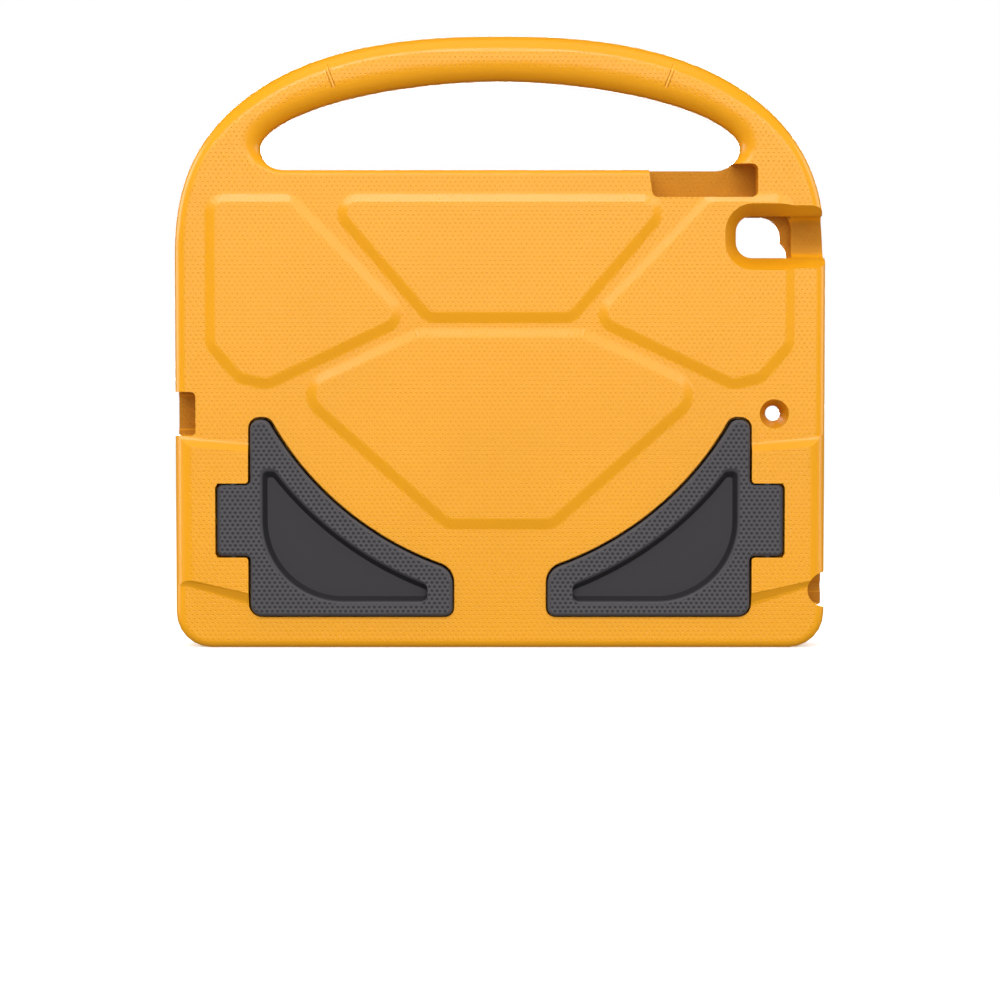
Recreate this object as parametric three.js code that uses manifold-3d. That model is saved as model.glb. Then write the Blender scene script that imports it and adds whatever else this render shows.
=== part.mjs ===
// Moulded foam case for a tablet, with a carrying handle and two feet that swing out on hinge pins.
// Millimetres. The case stands on its bottom edge, +Z up, with its back towards -Y and its front towards +Y.
// The origin is the middle of the bottom edge, and +X is to the right when the back is looked at.

import * as THREE from "three";
import { mergeVertices, toCreasedNormals } from "three/addons/utils/BufferGeometryUtils.js";
import Module from "manifold-3d";

const wasm = await Module();
wasm.setup();

// The tablet that the pocket holds, lying on its long side.
const tabletWidth = 240;
const tabletHeight = 169.5;
const tabletThickness = 7.5;
const tabletCorner = 10;
const tabletPlay = 0.5;

// Foam round the tablet.
const sideWall = 13;
const bottomWall = 11;
const backPanel = 14;
const frontLip = 4;
const lipOverlap = 4.5;
const lipCorner = 8;
const lipBevelWidth = 5.5;
const lipBevelDepth = 2;
const bottomCorner = 14.5;
const bodyEdge = 5;
const bottomEdge = 3.5;

// Handle: a bar over the pocket, the hand hole over that, and the grip over the hole.
const topBar = 14.5;
const holeCorner = 9.2;
const holeRise = 27.2;
const holePower = 1.82;
const handleLeg = 35.3;
const gripWidth = 18.4;
const gripEdge = 8.8;
const holeBottomEdge = 2.5;
const archRise = 92;
const archPower = 2.46;
const seamRadius = 0.9;
const seamFromMiddle = 69.7;
const seamLength = 13;
const seamFromTop = 16.2;
const seamTurn = 21.5;

// Raised fields on the back.
const padRise = 1.6;
const padBevel = 5.5;
const padCorner = 6;
const padFromHole = 11.4;
const padFromSide = 14.8;
const channel = 9;
const hexTopZ = 129.4;
const hexTopHalf = 33.9;
const hexWaistZ = 106.3;
const hexWaistHalf = 83.9;
const hexWaistCorner = 8;
const hexBottomZ = 51;
const hexBottomHalf = 21.4;
const trapezoidTopHalf = 71.7;
const trapezoidBottomHalf = 29.3;
const sidePadTopWidth = 33.2;
const sidePadInnerX = 37.9;
const sidePadLowX = 95.3;
const sidePadLowZ = 108.4;
const sidePadKneeX = 106.8;
const sidePadKneeZ = 110.9;
const sidePadOuterZ = 124.4;

// Hinge blocks, raised beside the feet. Each end of a block slopes down to the back.
const blockRise = 2.5;
const blockEdge = 8;
const blockTopOuterZ = 82.6;
const blockTopInnerZ = 79.7;
const blockTopSlope = 5;
const blockLowOuterZ = 30.1;
const blockLowInnerZ = 23.6;
const blockLowOuterSlope = 3;
const blockLowInnerSlope = 7;

// Feet, folded flat into recesses in the back, and the pins that they swing on.
const footThickness = 12;
const footGap = 0.6;
const footArcGap = 1.1;
const footBottomZ = 13.3;
const footTopZ = 93.9;
const footTopWidth = 7.3;
const footTopCorner = 4;
const footTopBlend = 2.7;
const footSpacing = 39;
const footTipHeight = 18.8;
const footArcRadius = 133.9;
const footShoulderRadius = 7.8;
const footTipRadius = 3.3;
const footHeelRadius = 4.9;
const footEdge = 1.1;
const footInnerEdge = 1.5;
const tabBottomZ = 37.9;
const tabHeight = 29.3;
const tabCorner = 2.4;
const tabFillet = 2;
const swingClearance = 1.3;
const swingPlay = 0.35;
const hingeFromSide = 23.5;
const pinRadius = 1.75;
const pinInFoam = 17;
const pinGap = 0.3;

// Crescent hollow in each foot's outer face, with sloping walls.
const crescentDepth = 3.5;
const crescentSlope = 2.9;
const crescentRimArc = 8.4;
const crescentRimSide = 4.3;
const crescentRimBottom = 5;
const crescentBulge = 34;
const crescentTopWidth = 6;
const crescentTopFloorWidth = 2.4;
const crescentEndHeight = 8.5;
const crescentEndFloorHeight = 2.6;
const crescentEndRound = 0.42;

// Small catch on each foot's inner face, and a hollow in the end of the foot.
const nubLength = 7.5;
const nubWidth = 3.5;
const nubHeight = 2.2;
const nubCorner = 1.1;
const nubFromHinge = 53;
const nubFromBottom = 4.5;
const endHollowHeight = 6;
const endHollowWidth = 5;
const endHollowDepth = 1.5;
const endHollowFromBottom = 4.4;
const endHollowCorner = 1;

// Cut-outs for the tablet's camera, buttons, ports and microphones.
const windowWidth = 23.5;
const windowHeight = 17.2;
const windowFromTop = 12.8;
const windowRadius = 6.5;
const windowInnerCorner = 1;
const windowFlare = 5;
const windowFlareDepth = 10;
const scoopRadius = 6;
const scoopBow = 1.8;
const micFromEdge = 8;
const micRadius = 3.1;
const micFlareRadius = 6;
const micFlareDepth = 9.5;
const volumeWidth = 43;
const volumeFromEdge = 15;
const volumeWall = 3.4;
const volumeDepth = 16;
const volumeRadius = 2.6;
const volumeLean = 2;
const volumeOverHole = 2.6;
const notchDepth = 20;
const chargeWidth = 18;
const chargeInset = 8.6;
const chargeRadius = 2;
const plugWidth = 15;
const plugHeight = 6.4;
const speakerLength = 25.7;
const speakerWidth = 4.4;
const speakerFromPort = 27;
const slotEndShare = 0.49;
const jackRadius = 7.1;
const jackHoleRadius = 3.4;
const jackFromBottom = 13;
const sideMicLength = 10;
const sideMicWidth = 6;
const sideMicRadius = 2.2;
const buttonNotchLength = 35;
const buttonNotchDepth = 3.4;
const buttonNotchRadius = 3;
const reliefLength = 11;
const reliefDepth = 2.7;
const reliefFromCorner = 10.5;

// Fineness of the curves.
const archSteps = 72;
const holeSteps = 56;
const edgeSteps = 6;
const cornerSteps = 6;
const roundSteps = 32;
const slopeSteps = 4;
const seamSteps = 16;
const arcSteps = 20;
const past = 1;
const sameSpot = 1e-3;
const weldDistance = 1e-4;
const creaseAngle = Math.PI / 7;

// Planes and lines that follow from the sizes above.
const pocketWidth = tabletWidth + 2 * tabletPlay;
const pocketHeight = tabletHeight + 2 * tabletPlay;
const pocketDepth = tabletThickness + tabletPlay;
const caseWidth = pocketWidth + 2 * sideWall;
const halfWidth = caseWidth / 2;
const bodyDepth = backPanel + pocketDepth + frontLip;
const frontY = (bodyDepth + blockRise) / 2;
const backY = frontY - bodyDepth;
const blockY = backY - blockRise;
const pocketFloorY = backY + backPanel;
const lipY = pocketFloorY + pocketDepth;
const tabletY = (pocketFloorY + lipY) / 2;
const pocketTopZ = bottomWall + pocketHeight;
const pocketMiddleZ = bottomWall + pocketHeight / 2;
const holeBottomZ = pocketTopZ + topBar;
const holeHalf = halfWidth - handleLeg;
const holeTopZ = holeBottomZ + holeCorner + holeRise;
const caseHeight = holeTopZ + gripWidth;
const archZ = caseHeight - archRise;
const hingeX = halfWidth - hingeFromSide;
const hingeY = blockY + footThickness / 2;
const recessY = blockY + footThickness + pinGap;
const tabX = hingeX + footThickness / 2;
const footOuterX = hingeX - footThickness / 2 - swingClearance;
const footInnerX = footSpacing / 2;
const tabTopZ = tabBottomZ + tabHeight;

// Turns a closed three.js geometry into a solid that can be joined and cut.
function toSolid(geometry) {
  const bare = geometry.clone();
  bare.deleteAttribute("normal");
  bare.deleteAttribute("uv");
  const merged = mergeVertices(bare, weldDistance);
  return new wasm.Manifold(
    new wasm.Mesh({
      numProp: 3,
      vertProperties: new Float32Array(merged.attributes.position.array),
      triVerts: new Uint32Array(merged.index.array),
    }),
  );
}

// Turns a solid back into a geometry that is smooth, apart from its creases.
function toGeometry(solid, shift = new THREE.Vector3()) {
  const mesh = solid.getMesh();
  const geometry = new THREE.BufferGeometry();
  geometry.setAttribute("position", new THREE.BufferAttribute(mesh.vertProperties, 3));
  geometry.setIndex(new THREE.BufferAttribute(mesh.triVerts, 1));
  geometry.translate(-shift.x, -shift.y, -shift.z);
  return toCreasedNormals(geometry, creaseAngle);
}

// Closed outline, anticlockwise, as [across, up] points. A corner given as [across, up, radius] is rounded.
function outline(corners) {
  const points = [];
  const add = (point) => {
    const last = points.at(-1);
    if (!last || last.distanceTo(point) > sameSpot) points.push(point);
  };
  corners.forEach(([x, z, radius = 0], i) => {
    const corner = new THREE.Vector2(x, z);
    if (radius === 0) {
      add(corner);
      return;
    }
    const [beforeX, beforeZ] = corners.at(i - 1);
    const [afterX, afterZ] = corners[(i + 1) % corners.length];
    const before = new THREE.Vector2(beforeX, beforeZ).sub(corner).normalize();
    const after = new THREE.Vector2(afterX, afterZ).sub(corner).normalize();
    const half = Math.acos(THREE.MathUtils.clamp(before.dot(after), -1, 1)) / 2;
    const middle = before.clone().add(after).normalize();
    const centre = corner.clone().addScaledVector(middle, radius / Math.sin(half));
    const start = corner.clone().addScaledVector(before, radius / Math.tan(half));
    const from = start.sub(centre).angle();
    const side = Math.sign(before.cross(after));
    const turn = -side * (Math.PI - 2 * half);
    for (let k = 0; k <= cornerSteps; k++) {
      const angle = from + (turn * k) / cornerSteps;
      add(new THREE.Vector2(Math.cos(angle), Math.sin(angle)).multiplyScalar(radius).add(centre));
    }
  });
  if (points[0].distanceTo(points.at(-1)) < sameSpot) points.pop();
  return points;
}

// Outline moved outwards by a distance, which may depend on the point, its number and its normal.
function grow(points, distance) {
  return points.map((point, i) => {
    const last = points.at(i - 1);
    const next = points[(i + 1) % points.length];
    const before = new THREE.Vector2(point.y - last.y, last.x - point.x).normalize();
    const after = new THREE.Vector2(next.y - point.y, point.x - next.x).normalize();
    const normal = before.clone().add(after).normalize();
    const step = typeof distance === "number" ? distance : distance(point, i, normal);
    return point.clone().addScaledVector(normal, step / Math.max(0.5, normal.dot(before)));
  });
}

// The same outline on the left side (side -1) or, as drawn, on the right side (side 1).
function onSide(points, side) {
  if (side > 0) return points;
  return points.map((point) => new THREE.Vector2(-point.x, point.y)).reverse();
}

// Closed solid through a stack of outlines, each { points, at }, in rising order along the axis.
// at is one distance along the axis, or one for each point. The outline lies in the other two axes.
function stack(layers, axis = "y") {
  const count = layers[0].points.length;
  const place = {
    x: (point, at) => [at, point.x, point.y],
    y: (point, at) => [point.x, at, point.y],
    z: (point, at) => [point.x, point.y, at],
  };
  const positions = layers.flatMap(({ points, at }) =>
    points.flatMap((point, i) => place[axis](point, Array.isArray(at) ? at[i] : at)),
  );
  const faces = [];
  for (let layer = 0; layer < layers.length - 1; layer++) {
    for (let i = 0; i < count; i++) {
      const a = layer * count + i;
      const b = layer * count + ((i + 1) % count);
      faces.push([a, a + count, b], [b, a + count, b + count]);
    }
  }
  const top = (layers.length - 1) * count;
  for (const [a, b, c] of THREE.ShapeUtils.triangulateShape(layers[0].points, [])) {
    faces.push([a, b, c]);
  }
  for (const [a, b, c] of THREE.ShapeUtils.triangulateShape(layers.at(-1).points, [])) {
    faces.push([top + a, top + c, top + b]);
  }
  const geometry = new THREE.BufferGeometry();
  geometry.setAttribute("position", new THREE.Float32BufferAttribute(positions, 3));
  geometry.setIndex(faces.flatMap(([a, b, c]) => (axis === "y" ? [a, b, c] : [a, c, b])));
  return toSolid(geometry);
}

// Straight prism of an outline.
function prism(points, from, to, axis = "y") {
  const layers = [from, to].map((at) => ({ points, at }));
  return stack(layers, axis);
}

// Rings of a quarter-round edge, from the face at one end of it to the full outline.
// way -1 rounds the edge of a solid, and way 1 flares a cutter.
function roundedEdge(points, face, radius, way, direction) {
  const radii = points.map(radius);
  const rings = [];
  for (let i = 0; i <= edgeSteps; i++) {
    const turn = ((i / edgeSteps) * Math.PI) / 2;
    rings.push({
      points: grow(points, (_, k) => way * radii[k] * (1 - Math.sin(turn))),
      at: radii.map((r) => face + direction * r * (1 - Math.cos(turn))),
    });
  }
  return rings;
}

// Slab between two faces with round edges.
function roundedSlab(points, low, high, radius) {
  const rings = roundedEdge(points, low, radius, -1, 1);
  return stack([...rings, ...roundedEdge(points, high, radius, -1, -1).reverse()]);
}

// Cutter for a hole through two faces, which rounds the hole's edges.
function roundedHole(points, low, high, radius) {
  const rings = roundedEdge(points, low, radius, 1, 1);
  const lastRings = roundedEdge(points, high, radius, 1, -1).reverse();
  const below = { points: rings[0].points, at: low - past };
  const above = { points: lastRings.at(-1).points, at: high + past };
  return stack([below, ...rings, ...lastRings, above]);
}

// Upper half of a superellipse, from its right end over the top to its left end.
function arch(half, rise, base, power, steps) {
  return Array.from({ length: steps + 1 }, (_, i) => {
    const angle = (Math.PI * i) / steps;
    const across = Math.abs(Math.cos(angle)) ** (2 / power) * Math.sign(Math.cos(angle));
    return [half * across, base + rise * Math.abs(Math.sin(angle)) ** (2 / power)];
  });
}

function box(low, high) {
  const size = high.map((value, i) => value - low[i]);
  const geometry = new THREE.BoxGeometry(...size);
  geometry.translate(...low.map((value, i) => value + size[i] / 2));
  return toSolid(geometry);
}

// Turned solid on an axis through u, v. Its profile is a list of [distance along the axis, radius].
function turned(axis, u, v, profile) {
  const circle = (size) =>
    Array.from({ length: roundSteps }, (_, i) => {
      const angle = (2 * Math.PI * i) / roundSteps;
      return new THREE.Vector2(u + size * Math.cos(angle), v + size * Math.sin(angle));
    });
  const layers = profile.map(([at, radius]) => ({ points: circle(radius), at }));
  return stack(layers, axis);
}

// Round bar or cone along an axis, between two points of that axis.
function round(axis, from, to, u, v, radius, endRadius = radius) {
  return turned(axis, u, v, [
    [from, radius],
    [to, endRadius],
  ]);
}

// Rectangle with round corners, given by its middle and its full size.
function roundedBox(u, v, width, height, radius) {
  const half = width / 2;
  const rise = height / 2;
  return outline([
    [u - half, v - rise, radius],
    [u + half, v - rise, radius],
    [u + half, v + rise, radius],
    [u - half, v + rise, radius],
  ]);
}

const ease = (value) => THREE.MathUtils.smoothstep(value, 0, 1);
const mix = (low, high, share) => low + (high - low) * share;

// Outer form of the case: straight sides, round bottom corners and an arch that the grip follows.
const outerLine = outline([
  [-halfWidth, 0, bottomCorner],
  [halfWidth, 0, bottomCorner],
  ...arch(halfWidth, archRise, archZ, archPower, archSteps),
]);
const outerEdge = (point) => {
  const low = mix(bottomEdge, bodyEdge, ease(point.y / bottomCorner));
  return mix(low, gripEdge, ease((point.y - holeBottomZ) / (holeTopZ - holeBottomZ)));
};

// Hand hole: flat below, arched above, with an edge that grows rounder towards the grip.
const holeLine = outline([
  [-holeHalf, holeBottomZ, holeCorner],
  [holeHalf, holeBottomZ, holeCorner],
  ...arch(holeHalf, holeRise, holeBottomZ + holeCorner, holePower, holeSteps),
]);
const holeEdge = (point) => mix(holeBottomEdge, gripEdge, ease((point.y - holeBottomZ) / holeCorner));

// One raised field: its edge climbs in a soft curve from the back panel to the top of the field.
function pad(corners) {
  const middle = outline(corners.map(([x, z, radius = padCorner]) => [x, z, radius]));
  const layers = [{ points: grow(middle, padBevel / 2), at: backY + past }];
  const rising = [];
  for (let i = 0; i <= slopeSteps; i++) {
    const share = i / slopeSteps;
    rising.push({
      points: grow(middle, mix(padBevel / 2, -padBevel / 2, share)),
      at: backY - padRise * ease(share),
    });
  }
  return stack([...rising.reverse(), ...layers]);
}

// The fields on the back: a hexagon, a trapezoid over it and one field at each side.
function pads() {
  const padTopZ = holeBottomZ - padFromHole;
  const trapezoidBottomZ = hexTopZ + channel - padBevel / 2;
  const padX = halfWidth - padFromSide;
  const hexagon = pad([
    [-hexBottomHalf, hexBottomZ],
    [hexBottomHalf, hexBottomZ],
    [hexWaistHalf, hexWaistZ, hexWaistCorner],
    [hexTopHalf, hexTopZ],
    [-hexTopHalf, hexTopZ],
    [-hexWaistHalf, hexWaistZ, hexWaistCorner],
  ]);
  const trapezoid = pad([
    [-trapezoidBottomHalf, trapezoidBottomZ],
    [trapezoidBottomHalf, trapezoidBottomZ],
    [trapezoidTopHalf, padTopZ],
    [-trapezoidTopHalf, padTopZ],
  ]);
  const sideCorners = [
    [sidePadInnerX, trapezoidBottomZ],
    [sidePadLowX, sidePadLowZ],
    [sidePadKneeX, sidePadKneeZ],
    [padX, sidePadOuterZ],
    [padX, padTopZ],
    [padX - sidePadTopWidth, padTopZ],
  ];
  const right = pad(sideCorners);
  const left = pad(sideCorners.map(([x, z]) => [-x, z]).reverse());
  return [hexagon, trapezoid, right, left];
}

// Hinge block: a field of the back raised round the tab of a foot, and rounded over the case's side.
function hingeBlock(side, slab) {
  const outerX = halfWidth + past;
  const innerX = footOuterX - past;
  const topOf = [blockTopInnerZ, blockTopOuterZ];
  const lowOf = [blockLowInnerZ, blockLowOuterZ];
  const lowSlope = [blockLowInnerSlope, blockLowOuterSlope];
  const layer = (share) => [
    [innerX, lowOf[0] - lowSlope[0] * share],
    [outerX, lowOf[1] - lowSlope[1] * share],
    [outerX, topOf[1] + blockTopSlope * share],
    [innerX, topOf[0] + blockTopSlope * share],
  ];
  const layers = [];
  for (let i = 0; i <= slopeSteps; i++) {
    const share = i / slopeSteps;
    layers.push({ points: onSide(outline(layer(share)), side), at: backY - blockRise * ease(1 - share) });
  }
  layers[0].at -= past;
  layers.push({ points: layers.at(-1).points, at: backY + blockEdge });
  return stack(layers).intersect(slab);
}

// Outline of a foot, on the right side: a tab at the hinge, an upright tip and a long concave edge.
function footLines() {
  const top = new THREE.Vector2(footOuterX - footTopWidth, footTopZ);
  const end = new THREE.Vector2(footInnerX, footBottomZ + footTipHeight);
  const middle = top.clone().add(end).multiplyScalar(0.5);
  const chord = end.clone().sub(top);
  const away = Math.sqrt(footArcRadius ** 2 - chord.lengthSq() / 4);
  const centre = middle.add(new THREE.Vector2(chord.y, -chord.x).normalize().multiplyScalar(away));
  return { top, end, centre };
}

// Points of a circle about a centre, from one height to another, on the side where the foot lies.
function footArc(centre, radius, from, to) {
  const start = Math.acos(THREE.MathUtils.clamp((from - centre.x) / radius, -1, 1));
  const stop = Math.acos(THREE.MathUtils.clamp((to - centre.x) / radius, -1, 1));
  return Array.from({ length: arcSteps + 1 }, (_, i) => {
    const angle = -mix(start, stop, i / arcSteps);
    return [centre.x + radius * Math.cos(angle), centre.y + radius * Math.sin(angle)];
  });
}

const { top: footTop, end: footEnd, centre: footCentre } = footLines();

function footLine(side) {
  const arcStart = footTop.x - footTopBlend;
  const arcStop = footEnd.x + footShoulderRadius;
  const points = outline([
    [footInnerX, footBottomZ, footTipRadius],
    [footOuterX, footBottomZ, footHeelRadius],
    [footOuterX, tabBottomZ, tabFillet],
    [tabX, tabBottomZ, tabCorner],
    [tabX, tabTopZ, tabCorner],
    [footOuterX, tabTopZ, tabFillet],
    [footOuterX, footTopZ, footTopCorner],
    [footTop.x, footTop.y, footTopCorner],
    ...footArc(footCentre, footArcRadius, arcStart, arcStop),
    [footEnd.x, footEnd.y, footShoulderRadius],
  ]);
  return onSide(points, side);
}

// Outline of the crescent hollow at its mouth (inset 0) or, further in, at its floor.
function crescentLine(side, inset, topWidth, endHeight) {
  const radius = footArcRadius + crescentRimArc + inset;
  const outerX = footOuterX - crescentRimSide - inset;
  const bottomZ = footBottomZ + crescentRimBottom + inset;
  const bulge = crescentBulge - inset;
  const topX = outerX - topWidth;
  const topZ = footCentre.y - Math.sqrt(radius ** 2 - (topX - footCentre.x) ** 2);
  const endZ = bottomZ + endHeight;
  const endX = footCentre.x + Math.sqrt(radius ** 2 - (endZ - footCentre.y) ** 2);
  const bulgePoints = Array.from({ length: arcSteps + 1 }, (_, i) => {
    const angle = mix(-Math.PI / 2, 0, i / arcSteps);
    return [outerX - bulge + bulge * Math.cos(angle), bottomZ + bulge + bulge * Math.sin(angle)];
  });
  const points = outline([
    [endX, bottomZ, endHeight * crescentEndRound],
    ...bulgePoints,
    [outerX, topZ, topWidth * crescentEndRound],
    [topX, topZ, topWidth * crescentEndRound],
    ...footArc(footCentre, radius, topX - topWidth, endX + endHeight),
    [endX, endZ, endHeight * crescentEndRound],
  ]);
  return onSide(points, side);
}

// Hollows in the foot's edges beside the case, below the tab and above it, which let them swing clear of it.
function edgeHollows(side) {
  const below = outline([
    [footInnerX, footBottomZ],
    [footOuterX, footBottomZ, footHeelRadius],
    [footOuterX, tabBottomZ, tabFillet],
    [hingeX, tabBottomZ],
  ]).slice(1, -1);
  const above = outline([
    [hingeX, tabTopZ],
    [footOuterX, tabTopZ, tabFillet],
    [footOuterX, footTopZ, footTopCorner],
    [footInnerX, footTopZ],
  ]).slice(1, -1);
  const sweep = ({ x, y }) => [y, Math.hypot(hingeX - x - footGap, footThickness / 2) + swingPlay];
  const first = sweep(below[0]);
  const last = sweep(above.at(-1));
  return [
    turned("z", side * hingeX, hingeY, [[first[0] - past, first[1]], ...below.map(sweep)]),
    turned("z", side * hingeX, hingeY, [...above.map(sweep), [last[0] + past, last[1]]]),
  ];
}

// Foot, with a small bevel round its faces, a round end at the hinge and a bore for the pin.
function foot(side) {
  const line = footLine(side);
  const low = blockY;
  const high = blockY + footThickness;
  const body = stack([
    { points: grow(line, -footEdge), at: low },
    { points: line, at: low + footEdge },
    { points: line, at: high - footInnerEdge },
    { points: grow(line, -footInnerEdge), at: high },
  ]);
  const span = [tabBottomZ - past, tabTopZ + past];
  const reach = footThickness / 2;
  const cornerLow = [Math.min(side * hingeX, side * (hingeX + 2 * reach)), hingeY, span[0]];
  const cornerHigh = [Math.max(side * hingeX, side * (hingeX + 2 * reach)), hingeY + 2 * reach, span[1]];
  const corner = box(cornerLow, cornerHigh);
  const barrel = round("z", span[0] - past, span[1] + past, side * hingeX, hingeY, reach);
  const bore = round("z", span[0], span[1], side * hingeX, hingeY, pinRadius + pinGap);
  const mouth = crescentLine(side, 0, crescentTopWidth, crescentEndHeight);
  const floor = crescentLine(side, crescentSlope, crescentTopFloorWidth, crescentEndFloorHeight);
  const hollow = stack([
    { points: mouth, at: low - past },
    { points: mouth, at: low },
    { points: floor, at: low + crescentDepth },
  ]);
  const endZ = footBottomZ + endHollowFromBottom + endHollowHeight / 2;
  const endLine = roundedBox(hingeY, endZ, endHollowWidth, endHollowHeight, endHollowCorner);
  const endFrom = side * (footInnerX - past);
  const endTo = side * (footInnerX + endHollowDepth);
  const endHollow = prism(endLine, Math.min(endFrom, endTo), Math.max(endFrom, endTo), "x");
  const swung = edgeHollows(side).reduce((solid, piece) => solid.subtract(piece), body);
  return swung
    .subtract(corner.subtract(barrel))
    .subtract(bore)
    .subtract(hollow)
    .subtract(endHollow)
    .add(prism(nubLine(side, 0), high - past, high + nubHeight));
}

// Outline of the catch on a foot's inner face, grown by a gap where the case makes room for it.
function nubLine(side, gap) {
  const u = side * (hingeX - nubFromHinge);
  const v = footBottomZ + nubFromBottom;
  return roundedBox(u, v, nubLength + 2 * gap, nubWidth + 2 * gap, nubCorner);
}

// Outline of the recess for a foot. Along the concave edge it stands off further, and towards the middle also
// as far as the foot's inner edge reaches while it swings out.
function recessLine(side) {
  const half = footThickness / 2;
  const line = grow(footLine(1), (point, _, normal) => {
    const across = hingeX - point.x;
    const face = Math.hypot(across, half - footInnerEdge);
    const edge = Math.hypot(across - footInnerEdge, half);
    const above = point.x < footOuterX && point.y > footBottomZ + footTipRadius ? Math.max(0, normal.y) : 0;
    const gap = mix(footGap, footArcGap, above);
    return gap + Math.max(0, -normal.x) * (Math.max(face, edge) - across);
  });
  return onSide(line, side);
}

// Room for a foot in the back: its recess, the round socket that its tab turns in, and the pin's hole.
function footRoom(side) {
  const recess = prism(recessLine(side), blockY - past, recessY);
  const reach = (across) => Math.hypot(across, footThickness / 2) + footGap;
  const full = reach(tabX - hingeX);
  const end = reach(tabX - hingeX - footEdge);
  const span = [tabBottomZ - footGap, tabTopZ + footGap];
  const bar = turned("z", side * hingeX, hingeY, [
    [span[0], end],
    [tabBottomZ + footEdge, full],
    [tabTopZ - footEdge, full],
    [span[1], end],
  ]);
  const socket = bar.intersect(
    box(
      [side * hingeX - 2 * full, blockY, span[0] - past],
      [side * hingeX + 2 * full, recessY, span[1] + past],
    ),
  );
  const pinHole = round(
    "z",
    tabBottomZ - pinInFoam - pinGap,
    tabTopZ + pinInFoam + pinGap,
    side * hingeX,
    hingeY,
    pinRadius + pinGap,
  );
  const catchRoom = prism(nubLine(side, pinGap), recessY - past, recessY + nubHeight);
  return [recess, socket, pinHole, catchRoom];
}

// Pocket for the tablet, and the opening in front with its bevelled lip and its notches.
function pocketRoom() {
  const middle = pocketMiddleZ;
  const pocket = prism(roundedBox(0, middle, pocketWidth, pocketHeight, tabletCorner), pocketFloorY, lipY);
  const width = pocketWidth - 2 * lipOverlap;
  const height = pocketHeight - 2 * lipOverlap;
  const line = roundedBox(0, middle, width, height, lipCorner);
  const opening = prism(line, lipY - past, frontY + past);
  const slope = lipBevelWidth / lipBevelDepth;
  const bevel = stack([
    { points: line, at: frontY - lipBevelDepth },
    { points: grow(line, lipBevelWidth + past * slope), at: frontY + past },
  ]);
  const notchLine = roundedBox(
    -width / 2,
    middle,
    2 * buttonNotchDepth,
    buttonNotchLength,
    buttonNotchRadius,
  );
  const buttonNotch = prism(notchLine, lipY - past, frontY + past);
  const bow = ((reliefLength / 2) ** 2 + reliefDepth ** 2) / (2 * reliefDepth);
  const reliefZ = height / 2 - reliefFromCorner - reliefLength / 2;
  const reliefs = [-1, 1].map((way) =>
    round("y", lipY - past, frontY + past, width / 2 + reliefDepth - bow, middle + way * reliefZ, bow),
  );
  return [pocket, opening, bevel, buttonNotch, ...reliefs];
}

// Window for the camera, flared at the back, with a scooped way out to the side for the power button.
function cameraRoom() {
  const right = pocketWidth / 2;
  const middle = pocketTopZ - windowFromTop;
  const low = middle - windowHeight / 2;
  const high = middle + windowHeight / 2;
  const line = outline([
    [right - windowWidth, low, windowRadius],
    [right, low, windowInnerCorner],
    [right, high, windowInnerCorner],
    [right - windowWidth, high, windowRadius],
  ]);
  const flareLine = outline([
    [right - windowWidth, low, windowRadius],
    [halfWidth + windowFlare, low, windowInnerCorner],
    [halfWidth + windowFlare, high, windowInnerCorner],
    [right - windowWidth, high, windowRadius],
  ]);
  const window = prism(line, blockY - past, pocketFloorY + past);
  const padY = backY - padRise;
  const spread = windowFlare + (past * windowFlare) / windowFlareDepth;
  const flare = stack([
    { points: grow(flareLine, spread), at: padY - past },
    { points: flareLine, at: padY + windowFlareDepth },
  ]);
  const scoop = [];
  for (let i = 0; i <= 2 * slopeSteps; i++) {
    const share = i / (2 * slopeSteps);
    const floor = tabletY + scoopBow * Math.sin(Math.PI * share);
    const points = outline([
      [blockY - past, low],
      [floor, low, scoopRadius],
      [floor, high, scoopRadius],
      [blockY - past, high],
    ]);
    scoop.push({ points, at: mix(right - past, halfWidth + past, share) });
  }
  return [window, flare, stack(scoop, "x")];
}

// Hole for the microphone in the back, at the bottom of a deep funnel.
function micRoom() {
  const x = pocketWidth / 2 - micFromEdge;
  const hole = round("y", blockY, pocketFloorY + past, x, pocketMiddleZ, micRadius);
  const lean = (micFlareRadius - micRadius) / micFlareDepth;
  const flare = round(
    "y",
    backY - past,
    backY + micFlareDepth,
    x,
    pocketMiddleZ,
    micFlareRadius + past * lean,
    micRadius,
  );
  return [hole, flare];
}

// Finger notch for the volume buttons, open to the hand hole.
function volumeRoom() {
  const right = pocketWidth / 2 - volumeFromEdge;
  const left = right - volumeWidth;
  const floor = pocketTopZ + volumeWall;
  const topZ = holeBottomZ + volumeOverHole;
  const line = outline([
    [left, floor, volumeRadius],
    [right, floor, volumeRadius],
    [right, topZ, volumeRadius],
    [left - volumeLean, topZ],
  ]);
  return [prism(line, blockY - past, backY + volumeDepth)];
}

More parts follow.
